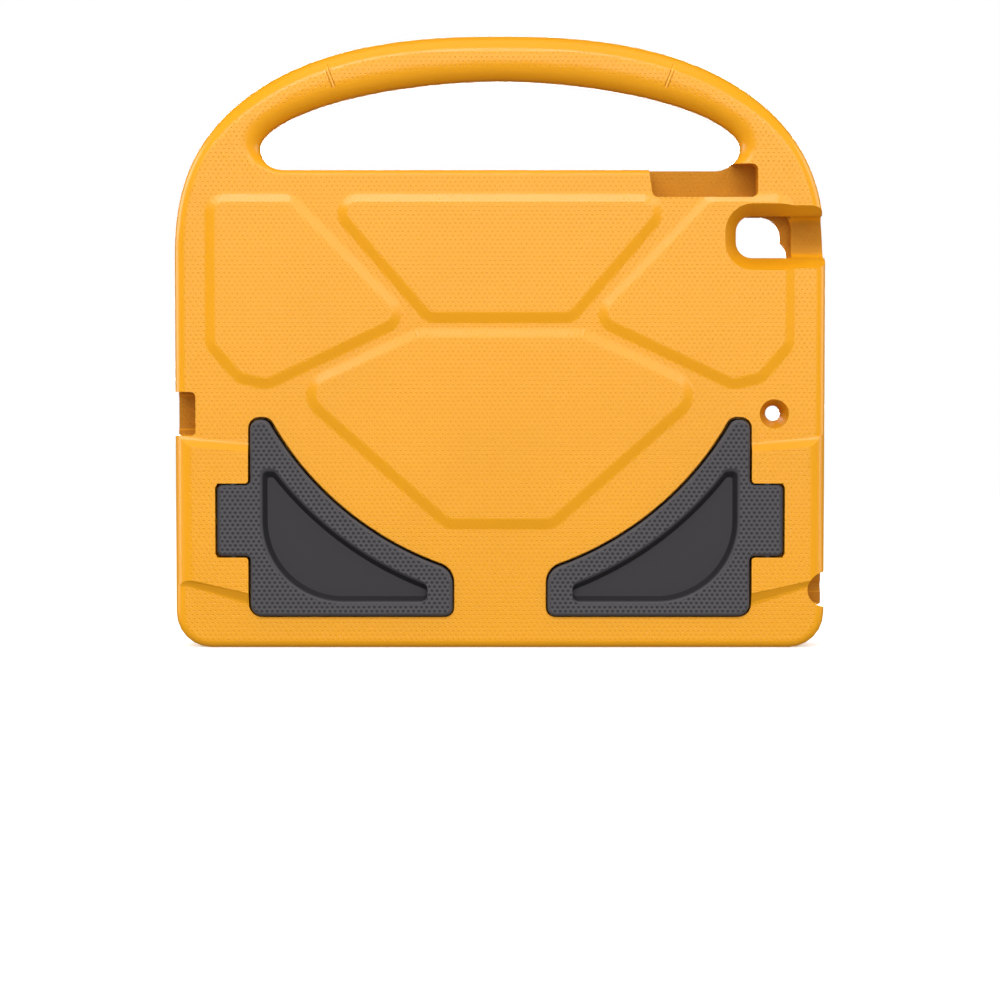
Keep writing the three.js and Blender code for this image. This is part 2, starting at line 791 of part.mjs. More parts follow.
// Openings in the side walls: charging port, loudspeakers, headphone socket and microphone.
function sideRoom() {
  const wall = pocketWidth / 2;
  const notchEnd = backY + notchDepth;
  const chargeLine = roundedBox(
    -halfWidth,
    pocketMiddleZ,
    2 * chargeInset,
    chargeWidth,
    chargeRadius,
  );
  const charge = prism(chargeLine, blockY - past, notchEnd);
  const plugLine = roundedBox(tabletY, pocketMiddleZ, plugHeight, plugWidth, chargeRadius);
  const plug = prism(plugLine, -halfWidth - past, past - wall, "x");
  const speakers = [-1, 1].map((way) => {
    const z = pocketMiddleZ + way * speakerFromPort;
    const line = roundedBox(tabletY, z, speakerWidth, speakerLength, speakerWidth * slotEndShare);
    return prism(line, -halfWidth - past, past - wall, "x");
  });
  const jackZ = bottomWall + jackFromBottom;
  const jack = round("y", blockY - past, notchEnd, halfWidth, jackZ, jackRadius);
  const jackHole = round("x", wall - past, halfWidth + past, tabletY, jackZ, jackHoleRadius);
  const micLine = roundedBox(tabletY, pocketMiddleZ, sideMicWidth, sideMicLength, sideMicRadius);
  const mic = prism(micLine, wall - past, halfWidth + past, "x");
  return [charge, plug, ...speakers, jack, jackHole, mic];
}

// Shallow grooves across the grip, where its bar meets the legs, on both faces.
function seams() {
  return [-1, 1].flatMap((side) =>
    [backY, frontY].map((y) => {
      const bar = new THREE.CylinderGeometry(seamRadius, seamRadius, seamLength, seamSteps);
      bar.rotateY(Math.PI / seamSteps);
      bar.rotateX(Math.PI / 2);
      bar.rotateY(side * THREE.MathUtils.degToRad(seamTurn));
      bar.translate(side * seamFromMiddle, y, caseHeight - seamFromTop);
      return toSolid(bar);
    }),
  );
}

// The case itself, moulded in one piece with its handle.
function caseShell() {
  const body = roundedSlab(outerLine, backY, frontY, outerEdge);
  const proud = roundedSlab(outerLine, blockY, frontY, () => blockEdge);
  const added = [...pads(), hingeBlock(-1, proud), hingeBlock(1, proud)];
  const handHole = roundedHole(holeLine, backY, frontY, holeEdge);
  const removed = [
    handHole,
    ...seams(),
    ...pocketRoom(),
    ...cameraRoom(),
    ...micRoom(),
    ...volumeRoom(),
    ...sideRoom(),
    ...footRoom(-1),
    ...footRoom(1),
  ];
  const full = added.reduce((solid, piece) => solid.add(piece), body);
  return removed.reduce((solid, piece) => solid.subtract(piece), full);
}

const foam = new THREE.MeshStandardMaterial({ color: 0xf9a22c, roughness: 0.75, metalness: 0 });
const darkFoam = new THREE.MeshStandardMaterial({ color: 0x4a484c, roughness: 0.8, metalness: 0 });
const steel = new THREE.MeshStandardMaterial({ color: 0xb8bcc0, roughness: 0.35, metalness: 1 });

const tabletCase = new THREE.Group();
const shell = new THREE.Mesh(toGeometry(caseShell()), foam);
shell.name = "case_shell";
tabletCase.add(shell);

// Each foot and its pin hang on the hinge line of their side.
for (const [word, side] of [
  ["left", -1],
  ["right", 1],
]) {
  const hinge = new THREE.Group();
  hinge.position.set(side * hingeX, hingeY, 0);
  const footMesh = new THREE.Mesh(toGeometry(foot(side), hinge.position), darkFoam);
  footMesh.name = `${word}_foot`;
  const pinLength = tabHeight + 2 * pinInFoam;
  const pinMesh = new THREE.Mesh(new THREE.CylinderGeometry(pinRadius, pinRadius, pinLength, roundSteps), steel);
  pinMesh.name = `${word}_hinge_pin`;
  pinMesh.rotation.x = Math.PI / 2;
  pinMesh.position.z = tabBottomZ + tabHeight / 2;
  hinge.add(footMesh, pinMesh);
  tabletCase.add(hinge);
}

export default tabletCase;
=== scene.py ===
"""Looks of a moulded foam tablet case with a carrying handle and two fold-out feet.

The case, the feet and the hinge pins come from the frame. This script softens their edges, presses
the fine mesh of dots into the foam, adds the moulded joint lines across the grip, and sets up a
plain white studio.
"""

import math

import bmesh
import bpy
import numpy as np
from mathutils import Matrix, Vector
from mathutils.bvhtree import BVHTree


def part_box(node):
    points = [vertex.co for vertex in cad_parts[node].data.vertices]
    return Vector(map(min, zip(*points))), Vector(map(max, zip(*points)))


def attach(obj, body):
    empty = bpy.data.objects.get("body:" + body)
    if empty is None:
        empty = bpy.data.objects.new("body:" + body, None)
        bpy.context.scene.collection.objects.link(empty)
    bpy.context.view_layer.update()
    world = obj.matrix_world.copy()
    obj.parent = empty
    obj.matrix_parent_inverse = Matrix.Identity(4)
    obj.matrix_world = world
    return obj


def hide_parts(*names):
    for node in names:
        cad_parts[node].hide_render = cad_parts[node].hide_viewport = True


bl_info = {
    "name": "Foam tablet case",
    "version": (1, 0, 0),
    "blender": (4, 5, 0),
    "location": "View3D > Sidebar > Case",
    "description": "Finishes the shell, feet and hinge pins of a foam tablet case and lights them",
    "category": "Add Mesh",
}

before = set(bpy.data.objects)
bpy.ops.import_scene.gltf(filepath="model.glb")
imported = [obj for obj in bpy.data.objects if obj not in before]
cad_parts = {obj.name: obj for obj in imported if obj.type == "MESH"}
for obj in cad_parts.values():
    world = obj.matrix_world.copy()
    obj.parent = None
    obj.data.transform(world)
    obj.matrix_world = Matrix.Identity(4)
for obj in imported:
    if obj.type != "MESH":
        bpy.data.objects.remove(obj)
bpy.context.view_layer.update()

MM = 0.001

# Width of the image in pixels, and of the camera's sensor in millimetres.
IMAGE = 1000
SENSOR = 36.0

# The case's box, the plane of its hinge blocks and the plane of the back panel behind them.
SHELL_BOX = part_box("case_shell")
BACK = SHELL_BOX[0][1]
PANEL = BACK + 2.5 * MM

# Where a dot begins and where it is full, as the sum of the lattice's three waves.
ORANGE_DOTS = (1.1, 2.9)
GREY_DOTS = (-1.4, 2.3)

# Roughness and gloss of each foam, how much rougher the floors of the deep cut-outs are, and the
# foam's index of refraction.
ORANGE_SKIN = (0.29, 0.46)
CREASE_SKIN = (0.6, 0.3)
GREY_SKIN = (0.6, 0.2)
DEEP_ROUGHER = 0.5
FOAM_IOR = 1.45

# Ranges of a normal's part along an axis: on flat faces, on faces that look to the side or up,
# on faces that look back, and on the level floors of the feet.
FLAT = (0.93, 0.985)
TURNED = 0.72
# Faces that look back, deep in the cut-outs, get painted shade.
LOOKS_BACK = (-0.5, -0.9)
# Faces of the feet steeper than their level floors get painted shade.
LEVEL = (0.8, 0.97)

# Depth below the hinge blocks' plane over which the outer face of a foot ends.
FOOT_FACE = (1.6 * MM, 0.6 * MM)

# The foam's faint clouds and its grain: waves per metre, and how much paler the clouds are.
CLOUDS = 18
CLOUD_RANGE = (0.3, 0.7)
PALER = 1.035
GRAIN = 1600
GRAIN_STRENGTH = 0.5

# Marks on the pins: waves per metre round and along a pin, and the range of the roughness.
PIN_MARKS = (300, 300, 9000)
PIN_ROUGHNESS = (0.32, 0.5)

# Corners of the frame's meshes closer than this are one, corners of a grid closer than this are
# one, and faces that meet at less than this angle are one face.
SAME_PLACE = 0.003 * MM
SAME_POINT = 1e-7
SAME_FACE = math.radians(0.5)

# Steps across a soft edge, and how far in from a pin's side and end the middle of its chamfer
# lies, as a share of the chamfer.
EDGE_STEPS = 2
CHAMFER_ROUND = 0.3

# Points along a joint line, and how far beside it the height of the skin is read.
LINE_POINTS = 29
BESIDE_LINE = 2 * MM

# The floor: its radius, how far it lies below the case, the distances of its fade to white, and
# the paper's colour and roughness.
FLOOR_RADIUS = 6.0
FLOOR_DROP = 0.1 * MM
FLOOR_FADE = (0.3, 1.3)
PAPER = (0.9, 0.9, 0.9, 1)
PAPER_ROUGHNESS = 0.95

# The lights: what they aim at, the shares of the power in the middle and at both ends of the
# row that lights the slopes, and how much stronger the left light is than the right one.
AIM = (0, 0, 0.12)
SLOPE_MIDDLE = 0.85
SLOPE_END = 0.3
LEFT_GAIN = 1.6


# Sizes and colours that a user would change.

class FoamSizes(bpy.types.PropertyGroup):
    """Sizes of the foam's soft edges and of the mesh of dots pressed into it."""

    edge: bpy.props.FloatProperty(
        name="Soft edge", description="Width of the soft edge along every cut",
        default=0.55 * MM, min=0, unit="LENGTH")
    foot_edge: bpy.props.FloatProperty(
        name="Foot edge", description="Width of the soft edge round the feet",
        default=0.5 * MM, min=0, unit="LENGTH")
    edge_angle: bpy.props.FloatProperty(
        name="Edge angle", description="Faces that meet at more than this angle get a soft edge",
        default=math.radians(38), subtype="ANGLE")
    dot_pitch: bpy.props.FloatProperty(
        name="Dot pitch", description="Distance from one pressed dot to the next in its row",
        default=2.15 * MM, min=0.1 * MM, unit="LENGTH")
    dot_row: bpy.props.FloatProperty(
        name="Dot rows", description="Distance from one row of pressed dots to the next",
        default=1.69 * MM, min=0.1 * MM, unit="LENGTH")
    dot_depth: bpy.props.FloatProperty(
        name="Dot depth", description="Depth of the pressed dots",
        default=0.12 * MM, min=0, unit="LENGTH")
    # Below this depth the floors that look back get painted shade and a rougher skin.
    deep: bpy.props.FloatProperty(
        name="Deep", description="Depth at which the floor of a cut-out has its darker skin",
        default=16 * MM, min=0, unit="LENGTH")
    skin_grain: bpy.props.FloatProperty(
        name="Skin grain", description="Depth of the fine grain of the foam's skin",
        default=0.03 * MM, min=0, unit="LENGTH")


class FoamColours(bpy.types.PropertyGroup):
    """Colours of the two foams and of the pins, as linear values."""

    orange: bpy.props.FloatVectorProperty(
        name="Orange foam", description="Colour of the case",
        subtype="COLOR", size=3, default=(0.72, 0.303, 0.006), min=0, max=1)
    orange_dot: bpy.props.FloatVectorProperty(
        name="Orange dot", description="Colour of the case in its pressed dots",
        subtype="COLOR", size=3, default=(0.69, 0.28, 0.005), min=0, max=1)
    # Painted shade: the darker orange laid on the deep floors in place of the shade that falls
    # there.
    orange_deep_shade: bpy.props.FloatVectorProperty(
        name="Orange deep", description="Colour of the case on the floors of its deep cut-outs",
        subtype="COLOR", size=3, default=(0.46, 0.186, 0.003), min=0, max=1)
    # Painted shadow: the dark strips in the joint lines stand in for the shade in their creases.
    orange_crease_shadow: bpy.props.FloatVectorProperty(
        name="Orange crease", description="Colour of the creases in the joint lines",
        subtype="COLOR", size=3, default=(0.50, 0.195, 0.004), min=0, max=1)
    grey: bpy.props.FloatVectorProperty(
        name="Grey foam", description="Colour of the feet",
        subtype="COLOR", size=3, default=(0.073, 0.0697, 0.0757), min=0, max=1)
    grey_dot: bpy.props.FloatVectorProperty(
        name="Grey dot", description="Colour of the feet in their pressed dots",
        subtype="COLOR", size=3, default=(0.027, 0.025, 0.027), min=0, max=1)
    grey_smooth: bpy.props.FloatVectorProperty(
        name="Grey hollow", description="Colour of the smooth hollows in the feet",
        subtype="COLOR", size=3, default=(0.037, 0.0338, 0.0374), min=0, max=1)
    # Painted shade: the darker grey laid on the steep walls of the feet's hollows.
    grey_wall_shade: bpy.props.FloatVectorProperty(
        name="Grey wall", description="Colour of the steep walls of the feet",
        subtype="COLOR", size=3, default=(0.020, 0.0183, 0.020), min=0, max=1)
    steel: bpy.props.FloatVectorProperty(
        name="Pin steel", description="Colour of the hinge pins",
        subtype="COLOR", size=3, default=(0.42, 0.43, 0.46), min=0, max=1)


class JointLineSizes(bpy.types.PropertyGroup):
    """Sizes of the joint lines moulded across the grip."""

    across: bpy.props.FloatProperty(
        name="From the middle",
        description="Distance from the middle of the case to each joint line",
        default=69.7 * MM, unit="LENGTH")
    below_top: bpy.props.FloatProperty(
        name="Below the top",
        description="Distance from the top of the case to the middle of a joint line",
        default=16.2 * MM, unit="LENGTH")
    lean: bpy.props.FloatProperty(
        name="Lean", description="Angle between a joint line and the upright",
        default=math.radians(21.5), subtype="ANGLE")
    length: bpy.props.FloatProperty(
        name="Length", description="Length of a joint line", default=12 * MM, unit="LENGTH")
    ridge: bpy.props.FloatProperty(
        name="Ridge", description="Width of the ridge in the middle of a joint line",
        default=0.9 * MM, unit="LENGTH")
    # The creases are strips of painted shadow.
    crease: bpy.props.FloatProperty(
        name="Crease", description="Width of the dark crease on either side of the ridge",
        default=0.65 * MM, unit="LENGTH")
    spread: bpy.props.FloatProperty(
        name="Spread",
        description="Distance from the middle of the ridge to the middle of a crease",
        default=0.76 * MM, unit="LENGTH")
    proud: bpy.props.FloatProperty(
        name="Proud", description="How far the ridge and the creases stand above the skin",
        default=0.03 * MM, unit="LENGTH")


class PinSizes(bpy.types.PropertyGroup):
    """Sizes of the hinge pins."""

    chamfer: bpy.props.FloatProperty(
        name="Chamfer", description="Chamfer at both ends of a pin",
        default=0.4 * MM, min=0, unit="LENGTH")


class StudioSettings(bpy.types.PropertyGroup):
    """Camera, floor and lights."""

    distance: bpy.props.FloatProperty(
        name="Camera distance", description="From the camera to the back of the case",
        default=1.4, unit="LENGTH")
    pixel: bpy.props.FloatProperty(
        name="Pixel", description="Size of one image pixel at the back of the case",
        default=0.41 * MM, unit="LENGTH")
    level_row: bpy.props.FloatProperty(
        name="Level row", description="Image row that the camera stands level with",
        default=311)
    bottom_row: bpy.props.FloatProperty(
        name="Bottom row", description="Image row of the case's bottom edge",
        default=648.5)
    surround: bpy.props.FloatProperty(
        name="Surround", description="Strength of the even white light all round",
        default=0.49, min=0)
    front: bpy.props.FloatProperty(
        name="Front light", description="Power of the large soft light behind the camera",
        default=20, min=0, unit="POWER")
    slope: bpy.props.FloatProperty(
        name="Slope lights",
        description="Power that the row of lights on the upward slopes of the back is set from",
        default=21, min=0, unit="POWER")
    open_side: bpy.props.FloatProperty(
        name="Open side light",
        description="Power of the large soft light on the case's open side",
        default=42, min=0, unit="POWER")
    top: bpy.props.FloatProperty(
        name="Top light", description="Power of the soft light overhead",
        default=3, min=0, unit="POWER")
    floor_glow: bpy.props.FloatProperty(
        name="Floor glow", description="Light that the floor paper gives off itself",
        default=0.3, min=0)
    side: bpy.props.FloatProperty(
        name="Side lights",
        description="Power of the soft light at the right, which the left one is set from",
        default=9, min=0, unit="POWER")


# Materials.

def add(tree, kind, **values):
    """A shader node of that kind, with its properties set from the values given."""
    node = tree.nodes.new(kind)
    for name, value in values.items():
        setattr(node, name, value)
    return node


def axes(tree, vector):
    """The parts of a vector socket along x, y and z."""
    split = add(tree, "ShaderNodeSeparateXYZ")
    tree.links.new(vector, split.inputs[0])
    return split.outputs


def maths(tree, operation, a, b=0.0, clamp=False):
    """One scalar sum in a material, of two sockets or numbers."""
    node = add(tree, "ShaderNodeMath", operation=operation, use_clamp=clamp)
    for socket, value in zip(node.inputs, (a, b)):
        if isinstance(value, (int, float)):
            socket.default_value = value
        else:
            tree.links.new(value, socket)
    return node.outputs[0]


def ramp(tree, value, low, high):
    """Goes smoothly from 0 at low to 1 at high."""
    node = add(tree, "ShaderNodeMapRange", interpolation_type="SMOOTHSTEP", clamp=True)
    node.inputs["From Min"].default_value = low
    node.inputs["From Max"].default_value = high
    tree.links.new(value, node.inputs["Value"])
    return node.outputs["Result"]


def blend_colour(tree, share, low, high):
    """Colour between low and high by a share. Each colour is a socket or three linear numbers."""
    node = add(tree, "ShaderNodeMix", data_type="RGBA")
    tree.links.new(share, node.inputs["Factor"])
    for name, colour in (("A", low), ("B", high)):
        socket = [s for s in node.inputs if s.name == name and s.type == "RGBA"][0]
        if isinstance(colour, bpy.types.NodeSocket):
            tree.links.new(colour, socket)
        else:
            socket.default_value = (*colour, 1)
    return [s for s in node.outputs if s.type == "RGBA"][0]


def pressed_dots(tree, place, facing, pitch, row, low, high):
    """How deep a point lies in a lattice of pressed dots: 0 between the dots and 1 inside one.

    Every other row of dots is shifted by half a pitch. The lattice is the sum of three cosine waves
    that all peak in the middle of a dot: cos (2 pi up / row) and
    cos (2 pi (across / pitch +- up / (2 row))). A dot begins where their sum passes low and is full
    where it passes high, out of 3. The lattice lies in the plane that the surface faces most: the
    back's plane, the sides' or the top's.
    """
    x, y, z = axes(tree, place)
    turn = axes(tree, facing)
    to_side = maths(tree, "GREATER_THAN", maths(tree, "ABSOLUTE", turn[0]), TURNED)
    to_top = maths(tree, "GREATER_THAN", maths(tree, "ABSOLUTE", turn[2]), TURNED)
    across = swapped(tree, x, y, to_side)
    up = swapped(tree, z, y, to_top)
    full = 2 * math.pi
    waves = []
    for by_across, by_up in (
            (0, full / row), (full / pitch, math.pi / row), (full / pitch, -math.pi / row)):
        along = maths(tree, "MULTIPLY", across, by_across)
        angle = maths(tree, "ADD", along, maths(tree, "MULTIPLY", up, by_up))
        waves.append(maths(tree, "COSINE", angle))
    total = maths(tree, "ADD", maths(tree, "ADD", waves[0], waves[1]), waves[2])
    return ramp(tree, total, low, high)


def swapped(tree, usual, other, share):
    """The usual socket's value where share is 0, and the other's where it is 1."""
    kept = maths(tree, "MULTIPLY", usual, maths(tree, "SUBTRACT", 1.0, share))
    return maths(tree, "ADD", kept, maths(tree, "MULTIPLY", other, share))


def flat_share(tree, facing, low, high):
    """1 where a surface faces squarely along one axis and 0 on rounded or sloping parts."""
    x, y, z = [maths(tree, "ABSOLUTE", part) for part in axes(tree, facing)]
    return ramp(tree, maths(tree, "MAXIMUM", maths(tree, "MAXIMUM", x, y), z), low, high)


def foam(name, colour, dot_colour, dot_size, skin):
    """Closed-cell foam with a moulded skin, and the sockets with a point's place and its normal.

    It has a faint cloudy colour, pressed dots on its flat faces and a fine grain. dot_size holds
    the sums of waves where a dot begins and is full, and skin the roughness and the gloss.
    """
    sizes = bpy.context.scene.case_foam
    material = bpy.data.materials.new(name)
    material.use_nodes = True
    tree = material.node_tree
    surface = tree.nodes["Principled BSDF"]
    where = add(tree, "ShaderNodeTexCoord")
    place = where.outputs["Object"]
    facing = where.outputs["Normal"]

    dots = pressed_dots(tree, place, facing, sizes.dot_pitch, sizes.dot_row, *dot_size)
    pressed = maths(tree, "MULTIPLY", dots, flat_share(tree, facing, *FLAT))

    cloudy = ramp(tree, fine_noise(tree, place, CLOUDS), *CLOUD_RANGE)
    paler = tuple(min(1.0, value * PALER) for value in colour)
    ground = blend_colour(tree, cloudy, colour, paler)
    paint = blend_colour(tree, pressed, ground, dot_colour)
    tree.links.new(paint, surface.inputs["Base Color"])

    grain = add(tree, "ShaderNodeBump")
    grain.inputs["Strength"].default_value = GRAIN_STRENGTH
    grain.inputs["Distance"].default_value = sizes.skin_grain
    tree.links.new(fine_noise(tree, place, GRAIN), grain.inputs["Height"])
    press = add(tree, "ShaderNodeBump", invert=True)
    press.inputs["Strength"].default_value = 1.0
    press.inputs["Distance"].default_value = sizes.dot_depth
    tree.links.new(pressed, press.inputs["Height"])
    tree.links.new(grain.outputs[0], press.inputs["Normal"])
    tree.links.new(press.outputs[0], surface.inputs["Normal"])

    surface.inputs["Roughness"].default_value = skin[0]
    surface.inputs["Specular IOR Level"].default_value = skin[1]
    surface.inputs["IOR"].default_value = FOAM_IOR
    return material, place, facing


def fine_noise(tree, place, scale):
    """Noise of two octaves with so many waves per metre."""
    noise = add(tree, "ShaderNodeTexNoise")
    noise.inputs["Scale"].default_value = scale
    noise.inputs["Detail"].default_value = 2
    tree.links.new(place, noise.inputs["Vector"])
    return noise.outputs[0]


def orange_foam():
    """The case's orange foam, with painted shade and a duller skin on the floors of the deep
    cut-outs.
    """
    sizes = bpy.context.scene.case_foam
    colours = bpy.context.scene.case_colours
    material, place, facing = foam(
        "orange_foam", tuple(colours.orange), tuple(colours.orange_dot), ORANGE_DOTS, ORANGE_SKIN)
    tree = material.node_tree
    surface = tree.nodes["Principled BSDF"]
    # Painted shade: floors deeper than the set depth that look back are darkened, and made rougher.
    deep = ramp(tree, axes(tree, place)[1], BACK + 0.5 * sizes.deep, BACK + sizes.deep)
    floor = maths(tree, "MULTIPLY", deep, ramp(tree, axes(tree, facing)[1], *LOOKS_BACK))
    rough = maths(tree, "ADD", ORANGE_SKIN[0], maths(tree, "MULTIPLY", floor, DEEP_ROUGHER))
    tree.links.new(rough, surface.inputs["Roughness"])
    paint = surface.inputs["Base Color"].links[0].from_socket
    paint = blend_colour(tree, floor, paint, tuple(colours.orange_deep_shade))
    tree.links.new(paint, surface.inputs["Base Color"])
    return material


def painted_crease_shadow():
    """Painted shadow for the creases of the joint lines: a dark, duller foam."""
    dark = tuple(bpy.context.scene.case_colours.orange_crease_shadow)
    return foam("orange_crease_shadow", dark, dark, ORANGE_DOTS, CREASE_SKIN)[0]


def grey_foam():
    """The feet's grey foam: dots on the outer face, a smooth skin elsewhere, and painted shade on
    the steep walls.
    """
    colours = bpy.context.scene.case_colours
    material, place, facing = foam(
        "grey_foam", tuple(colours.grey), tuple(colours.grey_dot), GREY_DOTS, GREY_SKIN)
    tree = material.node_tree
    surface = tree.nodes["Principled BSDF"]
    outer = ramp(tree, axes(tree, place)[1], *(BACK + depth for depth in FOOT_FACE))
    # Painted shade: the steep walls away from the outer face take the darker grey.
    level = ramp(tree, maths(tree, "ABSOLUTE", axes(tree, facing)[1]), *LEVEL)
    smooth = blend_colour(tree, level, tuple(colours.grey_wall_shade), tuple(colours.grey_smooth))
    paint = surface.inputs["Base Color"].links[0].from_socket
    paint = blend_colour(tree, outer, smooth, paint)
    tree.links.new(paint, surface.inputs["Base Color"])
    height = surface.inputs["Normal"].links[0].from_node.inputs["Height"]
    tree.links.new(maths(tree, "MULTIPLY", height.links[0].from_socket, outer), height)
    return material


def pin_steel():
    """Dull drawn steel, with fine marks that run round the pin."""
    material = bpy.data.materials.new("pin_steel")
    material.use_nodes = True
    tree = material.node_tree
    surface = tree.nodes["Principled BSDF"]
    surface.inputs["Base Color"].default_value = (*bpy.context.scene.case_colours.steel, 1)
    surface.inputs["Metallic"].default_value = 1
    where = add(tree, "ShaderNodeTexCoord")
    squash = add(tree, "ShaderNodeMapping")
    squash.inputs["Scale"].default_value = PIN_MARKS
    tree.links.new(where.outputs["Object"], squash.inputs["Vector"])
    spread = add(tree, "ShaderNodeMapRange")
    spread.inputs["To Min"].default_value = PIN_ROUGHNESS[0]
    spread.inputs["To Max"].default_value = PIN_ROUGHNESS[1]
    tree.links.new(fine_noise(tree, squash.outputs[0], 1), spread.inputs["Value"])
    tree.links.new(spread.outputs["Result"], surface.inputs["Roughness"])
    return material


def floor_paper():
    """White matt studio paper with a glow, that fades into the white surround round the case."""
    material = bpy.data.materials.new("floor_paper")
    material.use_nodes = True
    tree = material.node_tree
    surface = tree.nodes["Principled BSDF"]
    surface.inputs["Base Color"].default_value = PAPER
    surface.inputs["Roughness"].default_value = PAPER_ROUGHNESS
    surface.inputs["Specular IOR Level"].default_value = 0
    surface.inputs["Emission Color"].default_value = (1, 1, 1, 1)
    surface.inputs["Emission Strength"].default_value = bpy.context.scene.case_studio.floor_glow
    far = add(tree, "ShaderNodeEmission")
    where = add(tree, "ShaderNodeTexCoord")
    length = add(tree, "ShaderNodeVectorMath", operation="LENGTH")
    tree.links.new(where.outputs["Object"], length.inputs[0])
    mix = add(tree, "ShaderNodeMixShader")
    tree.links.new(ramp(tree, length.outputs["Value"], *FLOOR_FADE), mix.inputs["Fac"])
    tree.links.new(surface.outputs[0], mix.inputs[1])
    tree.links.new(far.outputs[0], mix.inputs[2])
    tree.links.new(mix.outputs[0], tree.nodes["Material Output"].inputs["Surface"])
    return material


# Pieces.

def finished(piece, material, body, slot, *nodes):
    """Gives a piece its material and body, and hides the frame nodes that it stands for. The slot
    is not used.
    """
    piece.data.materials.clear()
    piece.data.materials.append(material)
    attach(piece, body)
    if nodes:
        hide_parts(*nodes)


def merged_copy(node, name):
    """A copy of a frame node's mesh, with its triangles merged and its flat faces joined."""
    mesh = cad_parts[node].data.copy()
    mesh.name = name
    piece = bpy.data.objects.new(name, mesh)
    bpy.context.scene.collection.objects.link(piece)
    form = bmesh.new()
    form.from_mesh(mesh)
    bmesh.ops.remove_doubles(form, verts=form.verts, dist=SAME_PLACE)
    bmesh.ops.dissolve_limit(form, angle_limit=SAME_FACE, verts=form.verts, edges=form.edges)
    form.to_mesh(mesh)
    form.free()
    return piece


def soften(piece, width, angle):
    """Rounds every edge sharper than an angle, and shades the rest by the size of its faces."""
    bevel = piece.modifiers.new("soft_edge", "BEVEL")
    bevel.width = width
    bevel.segments = EDGE_STEPS
    bevel.limit_method = "ANGLE"
    bevel.angle_limit = angle
    bevel.use_clamp_overlap = True
    piece.data.shade_smooth()
    weigh = piece.modifiers.new("weighted_normal", "WEIGHTED_NORMAL")
    weigh.keep_sharp = True
    weigh.mode = "FACE_AREA_WITH_ANGLE"
    weigh.weight = 100
    return piece


def grid_piece(name, points):
    """A mesh from a grid of points, rows by columns, closed round its columns.

    The first or the last row may be a single point, which a fan of triangles joins to the next row.
    """
    rows, columns = points.shape[:2]
    number = np.arange(rows * columns).reshape(rows, columns)
    after = np.roll(number, -1, axis=1)
    quads = np.stack([number[:-1], after[:-1], after[1:], number[1:]], axis=-1).reshape(-1, 4)
    mesh = bpy.data.meshes.new(name)
    mesh.from_pydata(points.reshape(-1, 3).tolist(), [], quads.tolist())
    form = bmesh.new()
    form.from_mesh(mesh)
    bmesh.ops.remove_doubles(form, verts=form.verts, dist=SAME_POINT)
    bmesh.ops.recalc_face_normals(form, faces=form.faces)
    form.to_mesh(mesh)
    form.free()
    mesh.shade_smooth()
    piece = bpy.data.objects.new(name, mesh)
    bpy.context.scene.collection.objects.link(piece)
    return piece


def pin_surface(name, low, high, chamfer, columns=48):
    """A round pin between two corners of its box, on an upright axis.

    A profile of [height, radius] is carried round the axis: up along the side from one chamfer to
    the other, and in to a point in the middle of each end. A point part of the way along each
    chamfer makes it a little round.
    """
    radius = (high[0] - low[0]) / 2
    middle = [(low[0] + high[0]) / 2, (low[1] + high[1]) / 2]
    part = CHAMFER_ROUND * chamfer
    profile = np.array([
        [low[2], 0], [low[2], radius - chamfer], [low[2] + part, radius - part],
        [low[2] + chamfer, radius], [high[2] - chamfer, radius], [high[2] - part, radius - part],
        [high[2], radius - chamfer], [high[2], 0],
    ])
    turn = np.linspace(0, 2 * math.pi, columns, endpoint=False)
    points = np.empty((len(profile), columns, 3))
    points[:, :, 0] = middle[0] + profile[:, 1:] * np.cos(turn)
    points[:, :, 1] = middle[1] + profile[:, 1:] * np.sin(turn)
    points[:, :, 2] = profile[:, :1]
    return grid_piece(name, points)


def skin_depth(tree, across, up, side):
    """Y of the skin at each place across and up, where a ray from that side first meets it."""
    start = -side
    way = Vector((0, side, 0))
    hits = [tree.ray_cast(Vector((x, start, z)), way)[0] for x, z in zip(across, up)]
    return np.array([hit.y for hit in hits])


def line_surface(name, path, lean, half_width, half_depth, columns=16):
    """A long, thin line with tapering ends along a path of points, leaning in the back's plane.

    At s from -1 to 1 along the line, the section is an ellipse of size (1 - s ** 8) ** 0.5: a point
    at angle u lies at half_width * size * cos u across the line and half_depth * size * sin u deep.
    The ends close in a point.
    """
    share = np.linspace(-1, 1, len(path))[:, None]
    size = np.sqrt(np.clip(1 - share ** 8, 0, 1))
    u = np.linspace(0, 2 * math.pi, columns, endpoint=False)[None, :]
    across = half_width * size * np.cos(u)
    points = np.stack([
        path[:, :1] + across * math.cos(lean),
        path[:, 1:2] + half_depth * size * np.sin(u),
        path[:, 2:] - across * math.sin(lean),
    ], axis=-1)
    return grid_piece(name, points)


class CASE_OT_shell(bpy.types.Operator):
    """Finish the orange case with soft edges and its foam"""

    bl_idname = "case.shell"
    bl_label = "Case shell"

    def execute(self, context):
        sizes = context.scene.case_foam
        piece = soften(merged_copy("case_shell", "case_shell_foam"), sizes.edge, sizes.edge_angle)
        finished(piece, orange_foam(), "case", "orange_foam", "case_shell")
        return {"FINISHED"}


